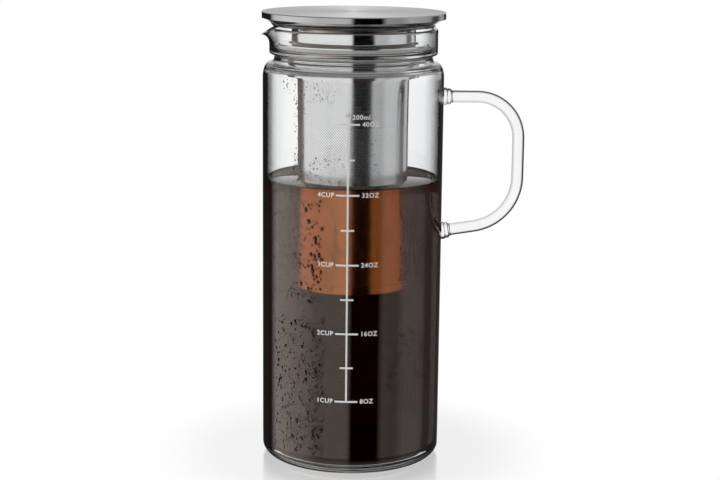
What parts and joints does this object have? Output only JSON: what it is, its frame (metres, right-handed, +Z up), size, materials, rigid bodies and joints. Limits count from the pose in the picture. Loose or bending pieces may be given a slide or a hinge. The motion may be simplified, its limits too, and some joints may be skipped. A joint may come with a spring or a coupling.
{
  "type": "cold brew coffee maker",
  "caption": "Tall round glass carafe with a glass rod handle and a small pouring lip, a flat steel lid, and a lift-out steel mesh basket hanging in its neck.",
  "frame": {"origin": "centre of the flat glass base, where the carafe stands", "axes": "+Z up along the axis of the carafe, +X towards the handle, -X towards the pouring lip, -Y towards the side with the printed scale"},
  "size_m": [0.1399, 0.097, 0.2393],
  "materials": {
    "clear_glass": "clear borosilicate glass",
    "white_print": "fired white enamel print",
    "brushed_top": "circular brushed stainless steel",
    "polished_steel": "polished stainless steel",
    "steel_mesh": "fine woven stainless mesh",
    "satin_steel": "satin stainless steel",
    "silicone": "grey silicone"
  },
  "bodies": {
    "carafe": {"carafe_body": "clear_glass", "handle_rod": "clear_glass", "upper_handle_weld": "clear_glass", "lower_handle_weld": "clear_glass", "scale_marks": "white_print"},
    "filter": {"filter_seal": "silicone", "filter_rim": "polished_steel", "filter_collar": "polished_steel", "filter_step": "polished_steel", "upper_band": "satin_steel", "lower_band": "satin_steel", "mesh_sleeve": "steel_mesh", "mesh_seam": "satin_steel", "filter_base_cap": "satin_steel"},
    "lid": {"lid_top_plate": "brushed_top", "lid_dish": "polished_steel", "lid_plug": "polished_steel", "seal_carrier": "satin_steel", "upper_seal_ring": "silicone", "lower_seal_ring": "silicone"}
  },
  "joints": [
    {"name": "filter_lift", "type": "slide", "parent": "carafe", "child": "filter", "axis": [0, 0, 1], "range_m": [0, 0.2]},
    {"name": "lid_lift", "type": "slide", "parent": "filter", "child": "lid", "axis": [0, 0, 1], "range_m": [0, 0.08]}
  ]
}
